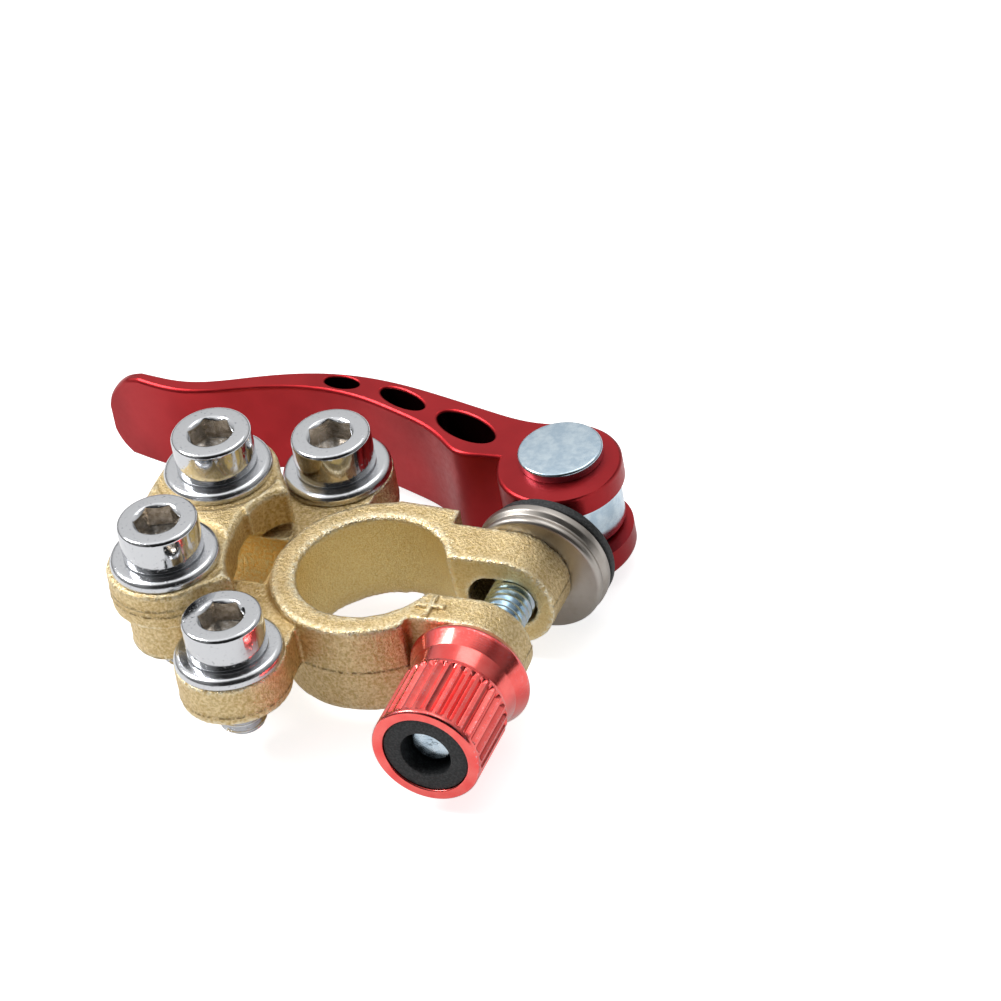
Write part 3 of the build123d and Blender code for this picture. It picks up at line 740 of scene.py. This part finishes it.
def lever_arm():
    """The lever, a section with broken corners carried from the thumb end round to the cam.

    Section i spans front(i) to back(i), points at the same share of the two edges' lengths in
    plan, and the heights where the thumb end's round in elevation leaves it at that x. Past the
    arm, the two edges run on round the cam's circle from either side until they meet. A plain
    strip lies either side of each broken corner, which keeps the tall faces' normals flat.
    """
    edge = 0.42
    front, back = flowing(FRONT_EDGE, 400)[::-1], flowing(BACK_EDGE, 400)
    middle = np.array([CAM_X, CAM_Y])
    front = front[np.linalg.norm(front - middle, axis=1) > CAM_R]
    back = back[np.linalg.norm(back - middle, axis=1) > CAM_R]
    near, far = front[-1] - middle, back[-1] - middle
    start, finish = np.arctan2(near[1], near[0]) + TURN, np.arctan2(far[1], far[0])
    last = (start + finish - TURN) / 2 + TURN
    arc = np.linspace(0, 1, 72)[1:, None]
    low = start + (last - start) * arc
    high = finish + (last - TURN - finish) * arc
    low = middle + CAM_R * np.hstack([np.cos(low), np.sin(low)])
    high = middle + CAM_R * np.hstack([np.cos(high), np.sin(high)])
    shares = 1 - np.cos(np.linspace(0, 1, 200) * pi / 2)
    shares = 0.35 * shares + 0.65 * np.linspace(0, 1, 200)
    front = np.vstack([evenly(front, shares), low])
    back = np.vstack([evenly(back, shares), high])
    span = back - front
    width = np.maximum(np.linalg.norm(span, axis=1, keepdims=True), 1e-6)
    inset = np.minimum(edge, width * 0.3)
    u, v = np.vstack([(1.5, 0), BROKEN, (0, 1.5)]).T
    share = np.concatenate([u[::-1] * inset / width, 1 - u * inset / width], axis=1)
    depth = np.concatenate([v[::-1], v])
    ways = np.concatenate([share[:, ::-1], share], axis=1)
    above = np.arange(4 * len(u)) >= 2 * len(u)
    plan = front[:, None] + span[:, None] * ways[..., None]
    elevation = flowing(TIP_ROUND, 200)
    bottom = elevation[:, 1] < 4.6
    left = np.maximum(plan[..., 0], TIP_X)
    floor = np.interp(left, elevation[bottom][::-1, 0], elevation[bottom][::-1, 1])
    roof = np.interp(left, elevation[~bottom][:, 0], elevation[~bottom][:, 1])
    drop = np.minimum(edge, (roof - floor) * 0.3) * np.concatenate([depth[::-1], depth])
    z = np.where(above, roof - drop, floor + drop)
    grid = np.concatenate([plan, z[..., None]], axis=-1)
    tip = grid[:1].mean(axis=1, keepdims=True) + grid[:1] * 0
    return np.concatenate([tip, grid, grid[-1:].mean(axis=1, keepdims=True) + grid[-1:] * 0])


def oval(x, y, turn, length, width, count=72):
    """An ellipse's plan and its outward normals, turned by an angle and moved to its place."""
    a = np.linspace(0, TURN, count, endpoint=False)
    loop = np.stack([length / 2 * np.cos(a), width / 2 * np.sin(a)], 1)
    normal = np.stack([width * np.cos(a), length * np.sin(a)], 1)
    normal /= np.linalg.norm(normal, axis=1, keepdims=True)
    c, s = np.cos(radians(turn)), np.sin(radians(turn))
    spin = np.array([(c, s), (-s, c)])
    return loop @ spin + (x, y), normal @ spin


def through_cutter(loop, normal, rim):
    """A hole's cutter: its plan carried down through the lever, flared by the broken rims."""
    past = 0.6
    u, v = rim * BROKEN.T
    outward = np.concatenate([[rim + past], u, u[::-1], [rim + past]])
    z = np.concatenate([[LEVER_Z - past], LEVER_Z + v, LEVER_TOP - v[::-1], [LEVER_TOP + past]])
    plan = loop[None] + normal[None] * outward[:, None, None]
    grid = np.concatenate([plan, np.repeat(z[:, None, None], len(loop), 1)], axis=-1)
    x, y = loop.mean(0)
    poles = np.repeat(np.array([(x, y, z[0]), (x, y, z[-1])])[:, None], len(loop), 1)
    return strip(np.concatenate([poles[:1], grid, poles[1:]]))


EYE_SLOT_R = 6.9
EYE_SLOT_HALF = 3.75
# x, y, turn in degrees, length, width and broken rim of each lightening hole
LIGHTENING = [
    (-17.0, 32.8, -4, 4.8, 2.2, 0.2),
    (-8.1, 31.1, -22, 7.2, 2.7, 0.28),
    (1.95, 27.25, -24, 9.4, 4.0, 0.3),
]


def eye_cutter():
    """The slot for the rod's eye: a flat box open to the right, rounded where it meets the arm.

    Its plan is the arc of the circle round the pivot that lies left of x_in, and then four
    corners clear of the lever, drawn level by level and closed at the middle.
    """
    a = np.linspace(pi * 1.5, pi * 0.5, 49)
    arc = np.stack([ROD_X + EYE_SLOT_R * np.cos(a), PIN_Y + EYE_SLOT_R * np.sin(a)], 1)
    x_in = ROD_X - EYE_SLOT_R / 2
    clear = [(x_in, 45.0), (40.0, 45.0), (40.0, 3.0), (x_in, 3.0)]
    loop = np.concatenate([arc[arc[:, 0] <= x_in], clear])
    middle = np.array([ROD_X + 6, PIN_Y])
    low, high = ROD_Z - EYE_SLOT_HALF, ROD_Z + EYE_SLOT_HALF
    levels = [
        np.concatenate([loop * k + middle * (1 - k), np.full((len(loop), 1), h)], 1)
        for k, h in ((0, low), (1, low), (1, high), (0, high))
    ]
    return woven("eye_slot_cutter", [strip(np.array(levels))])


def machined_lever():
    """The arm with its three lightening holes, its pin hole and its eye slot cut out of it."""
    arm = woven("cam_lever_machined", [strip(lever_arm())], 23)
    holes = [through_cutter(*oval(*hole[:5]), hole[5]) for hole in LIGHTENING]
    a = np.linspace(0, TURN, 96, endpoint=False)
    out = np.stack([np.cos(a), np.sin(a)], 1)
    holes.append(through_cutter(out * 3.03 + (ROD_X, PIN_Y), out, 0.1))
    for tool in (woven("hole_cutter", holes), eye_cutter()):
        applied(arm, "BOOLEAN", operation="DIFFERENCE", object=tool, solver="EXACT")
        bpy.data.objects.remove(tool)
    closed(arm.data, 23)
    points, _ = read_points(arm.data)
    # Marks the points inside the lightening holes, where the lever's finish paints shade.
    inner = np.zeros(len(points))
    for x, y, turn, length, width, _ in LIGHTENING:
        c, s = np.cos(radians(turn)), np.sin(radians(turn))
        along = (points[:, 0] - x) * c + (points[:, 1] - y) * s
        across = (points[:, 1] - y) * c - (points[:, 0] - x) * s
        inner += np.hypot(along / (length / 2 + 0.04), across / (width / 2 + 0.04)) < 1
    marked(arm.data, "inner", inner)
    return arm


settle(machined_lever(), "lever", "red_lever_anodise", LEVER_RED, "cam_lever")


# ---- castings ---------------------------------------------------------------------------------
def lattice(points, per_mm, seed):
    """Smooth noise from -1 to 1: hashed numbers at whole-number corners, blended by 3t^2 - 2t^3."""
    q = points * per_mm + seed * 17.3
    cell = np.floor(q).astype(np.int64)
    t = q - cell
    t = t * t * (3 - 2 * t)
    total = np.zeros(len(points))
    for corner in np.ndindex(2, 2, 2):
        at = cell + corner
        mixed = (at[:, 0] * 73856093) ^ (at[:, 1] * 19349663) ^ (at[:, 2] * 83492791)
        mixed = mixed ^ (seed * 2654435761)
        value = ((mixed * 1103515245 + 12345) % 65536) / 32767.5 - 1
        weight = np.prod(np.where(np.array(corner) == 1, t, 1 - t), axis=1)
        total += value * weight
    return total


def softened(node, name, voxel, passes):
    """A copy of a CAD node, merged, remeshed evenly and relaxed until its edges are cast edges."""
    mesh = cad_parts[node].data.copy()
    piece = bpy.data.objects.new(name, mesh)
    bpy.context.scene.collection.objects.link(piece)
    closed(mesh, 30)
    applied(piece, "REMESH", mode="VOXEL", voxel_size=voxel * MM, use_smooth_shade=True)
    applied(piece, "SMOOTH", factor=0.5, iterations=passes)
    return piece


def cast(piece, hollows, seams, seed):
    """Gives a casting its skin: each point moves along its normal by the sum of two noises.

    A mould joint adds 0.1 * exp(-((z - seam) / 0.16)^2) on outer walls. The edge mark is the
    averaged distance by which a point stands proud of its neighbours, in units of 0.02 mm.
    """
    points, normals = read_points(piece.data)
    hollow = hollows(points)
    skin = 0.045 * lattice(points, 0.55, seed) + 0.035 * lattice(points, 1.3, seed + 1)
    wall = np.clip((0.55 - np.abs(normals[:, 2])) / 0.2, 0, 1) * (hollow < 0.1)
    seam = np.exp(-(((points[:, 2] - seams(points)) / 0.16) ** 2)) * wall
    pairs = np.empty(len(piece.data.edges) * 2, np.int64)
    piece.data.edges.foreach_get("vertices", pairs)
    here = np.concatenate([pairs[::2], pairs[1::2]])
    there = np.concatenate([pairs[1::2], pairs[::2]])
    count = np.bincount(here, minlength=len(points))
    near = np.stack([np.bincount(here, points[there, i], len(points)) for i in range(3)], 1)
    near /= count[:, None]
    edge = ((points - near) * normals).sum(1) / 0.02
    for _ in range(2):
        edge = (edge + np.bincount(here, edge[there], len(points)) / count) / 2
    points += normals * (skin * (1 - 0.5 * hollow) + 0.10 * seam)[:, None]
    piece.data.vertices.foreach_set("co", (points * MM).astype(np.float32).ravel())
    for name, values in (("hollow", hollow), ("edge", np.clip(edge, -1, 1)), ("seam", seam)):
        marked(piece.data, name, values)
    piece.data.shade_smooth()
    piece.data.update()
    return piece


def body_hollows(p):
    """1 in the post bore, in the slot and in the cable's channel, 0 on the outside."""
    radius = np.hypot(p[:, 0], p[:, 1])
    bore = np.clip((9.95 - radius) / 0.25, 0, 1) * np.clip((RING_H - 0.25 - p[:, 2]) / 0.2, 0, 1)
    slot = (p[:, 0] > 8) * np.clip((3.62 - np.abs(p[:, 1])) / 0.15, 0, 1) * (p[:, 2] < RING_H - 0.2)
    channel = (p[:, 0] < -12.2) * np.clip((4.95 - np.hypot(p[:, 1], p[:, 2] - 9.3)) / 0.3, 0, 1)
    # Where this is high, the brass finish paints brighter, amber light.
    return np.clip(bore * 0.5 + slot * 0.3 + channel, 0, 1)


def body_seams(p):
    """Height of the mould joint: mid-way up the ring, lower down on the two lugs."""
    return np.where(np.hypot(p[:, 0] + 11.6, np.abs(p[:, 1]) - 17.6) < 7.4, 7.2, 6.3)


NO_SEAM = -50.0             # a height that no casting reaches


def cap_seams(p):
    """Height of the cap's joint: a double line on the cable's side, and none towards the ring."""
    return np.where(p[:, 0] > -18.0, NO_SEAM, np.where(p[:, 2] > 14.6, 15.0, 14.1))


def cap_hollows(p):
    """1 under the cap's arch, 0 elsewhere."""
    # Where this is high, the brass finish paints brighter, amber light.
    return np.clip((4.95 - np.hypot(p[:, 1], p[:, 2] - 9.3)) / 0.3, 0, 1)


def plus_mark(x, y, z):
    """Raised plus: its outline of twelve corners drawn in by a thickness level by level, and at the
    first and last level by its whole half length, which closes it at the middle.
    """
    h, w = 1.9, 0.40
    corners = np.array([
        (h, -w), (h, w), (w, w), (w, h), (-w, h), (-w, w),
        (-h, w), (-h, -w), (-w, -w), (-w, -h), (w, -h), (w, -w),
    ])
    share = np.linspace(0, 1, 7)[:-1, None]
    sides = corners[:, None] * (1 - share) + np.roll(corners, -1, axis=0)[:, None] * share
    loop = sides.reshape(-1, 2)
    rows = []
    for rise, thin in ((-0.3, h), (-0.3, 0.0), (0.2, 0.0), (0.36, 0.10), (0.42, 0.22), (0.42, h)):
        drawn = np.sign(loop) * np.maximum(np.abs(loop) - thin, 0)
        rows.append(np.concatenate([drawn + (x, y), np.full((len(loop), 1), z + rise)], 1))
    return woven("plus_mark", [strip(np.array(rows))], 30)


def cast_body():
    """The clamp's casting, with the bore drawn in towards its top as a battery post tapers."""
    body = softened("clamp_body", "clamp_body_cast", CASTING_VOXEL, 4)
    points, _ = read_points(body.data)
    on_ear = (points[:, 0] > 7.7) & (points[:, 1] < -3.4) & (points[:, 1] > -8.0)
    points[:, 2] = np.where(on_ear, np.minimum(points[:, 2], RING_H), points[:, 2])
    radius = np.hypot(points[:, 0], points[:, 1])
    in_bore = np.clip((10.6 - radius) / 0.7, 0, 1)
    taper = -0.35 * (points[:, 2] / RING_H - 0.5) * 2
    points[:, :2] *= 1 + (in_bore * taper / np.maximum(radius, 1))[:, None]
    body.data.vertices.foreach_set("co", (points * MM).astype(np.float32).ravel())
    body.data.update()
    cast(body, body_hollows, body_seams, 3)
    mark = plus_mark(10.3, -5.9, RING_H)
    marked(mark.data, "edge", np.full(len(mark.data.vertices), 0.6))
    joined = bmesh.new()
    joined.from_mesh(body.data)
    joined.from_mesh(mark.data)
    joined.to_mesh(body.data)
    joined.free()
    bpy.data.objects.remove(mark)
    return body


def cast_cap():
    """The plate over the cable's channel."""
    return cast(softened("cable_cap", "cable_cap_cast", CAP_VOXEL, 3), cap_hollows, cap_seams, 8)


settle(cast_body(), "clamp", "cast_brass", BRASS, "clamp_body")
settle(cast_cap(), "clamp", "cast_brass", BRASS, "cable_cap")


# ---- camera, floor and light ----------------------------------------------------------
def camera():
    """Long lens from above the cable side, turned a little about its own axis."""
    right = (0.92168921, 0.35602813, -0.15405512)
    down = (0.11245767, -0.62528754, -0.77224916)
    ahead = (-0.37127117, 0.69444904, -0.61635887)
    place = Vector((372.994, -661.635, 612.875)) * MM
    turn = Matrix([(right[i], -down[i], -ahead[i]) for i in range(3)]).to_4x4()
    eye = bpy.data.cameras.new("camera")
    eye.sensor_width = 36
    eye.lens = 36 * 8000 / 1001
    eye.clip_start, eye.clip_end = 0.05, 20
    holder = bpy.data.objects.new("camera", eye)
    holder.matrix_world = Matrix.Translation(place) @ turn
    bpy.context.scene.collection.objects.link(holder)
    bpy.context.scene.camera = holder


CAMERA_LIFT = 0.80
MIRROR_LIFT = 0.22


def floor():
    """White floor just under the lowest piece. It glows by CAMERA_LIFT in the camera's own view
    and by MIRROR_LIFT in reflections.
    """
    z = CAD_BOX[0][2] - 0.00003
    mesh = bpy.data.meshes.new("floor")
    mesh.from_pydata([(-2, -2, z), (2, -2, z), (2, 2, z), (-2, 2, z)], [], [(0, 1, 2, 3)])
    sheet = bpy.data.objects.new("floor", mesh)
    bpy.context.scene.collection.objects.link(sheet)
    paint = bpy.data.materials.new("floor_white")
    paint.use_nodes = True
    tree = Nodes(paint.node_tree)
    shader = tree.nodes["Principled BSDF"]
    shader.inputs["Base Color"].default_value = (0.70, 0.70, 0.70, 1)
    shader.inputs["Roughness"].default_value = 0.9
    shader.inputs["Specular IOR Level"].default_value = 0.0
    path = tree.add("LightPath").outputs
    seen = tree.mathed("MULTIPLY", path["Is Camera Ray"], CAMERA_LIFT)
    mirrored = tree.mathed("MULTIPLY", path["Is Glossy Ray"], MIRROR_LIFT)
    shader.inputs["Emission Color"].default_value = (1, 1, 1, 1)
    tree.links.new(tree.mathed("ADD", seen, mirrored), shader.inputs["Emission Strength"])
    mesh.materials.append(paint)


def studio():
    """World light: white overhead, a dark horizon and a dark corner behind the lens.

    A ramp over the direction's height, times the larger of a side wall and a panel overhead,
    times the corner. That is what lights the object and shows in it; the camera's own view of
    the background is plain white.
    """
    world = bpy.data.worlds.new("studio")
    bpy.context.scene.world = world
    world.use_nodes = True
    tree = Nodes(world.node_tree)
    way = tree.add("TexCoord").outputs["Generated"]
    split = tree.add("SeparateXYZ")
    tree.links.new(way, split.inputs[0])
    height = split.outputs["Z"]
    ramp = tree.add("ValToRGB")
    tree.links.new(height, ramp.inputs[0])
    stops = [
        (0.0, 0.14), (0.14, 0.20), (0.30, 0.58), (0.48, 0.74), (0.70, 0.84), (0.86, 0.96),
        (1.0, 1.0),
    ]
    bar = ramp.color_ramp.elements
    for at, grey in stops[1:-1]:
        bar.new(at)
    for stop, (at, grey) in zip(bar, stops):
        stop.color = (grey, grey, grey, 1)
    corner = tree.dotted(way, (0.371, -0.694, 0.616))
    shut = tree.ranged(corner, 0.66, 0.86, 1.0, 0.06, "SMOOTHSTEP")
    wall = tree.ranged(tree.dotted(way, (-0.472, 0.882, 0.0)), -0.1, 0.4, 0.38, 1.0)
    panel = tree.ranged(height, 0.74, 0.86, 0.0, 1.15)
    level = tree.mathed("MULTIPLY", tree.mathed("MAXIMUM", wall, panel), shut)
    dimmed = tree.add("VectorMath", operation="SCALE")
    tree.links.new(ramp.outputs[0], dimmed.inputs[0])
    tree.links.new(level, dimmed.inputs["Scale"])
    seen = tree.add("LightPath").outputs["Is Camera Ray"]
    light = tree.mixed(seen, dimmed.outputs[0], (1.0, 1.0, 1.0))
    tree.links.new(light, tree.nodes["Background"].inputs["Color"])


def softbox(name, place, size, power):
    """A rectangular lamp at a place, facing the object."""
    light = bpy.data.lights.new(name, "AREA")
    light.shape = "RECTANGLE"
    light.size, light.size_y = size
    light.energy = power
    holder = bpy.data.objects.new(name, light)
    holder.location = place
    to_object = Vector((0, 0, 0.005)) - Vector(place)
    holder.rotation_euler = to_object.to_track_quat("-Z", "Y").to_euler()
    bpy.context.scene.collection.objects.link(holder)


camera()
floor()
studio()
softbox("key_left", (-0.62, -0.10, 0.72), (0.30, 0.45), 6.0)
softbox("top_back", (0.15, 0.45, 0.85), (0.6, 0.35), 1.0)
bpy.context.scene.view_settings.view_transform = "Standard"
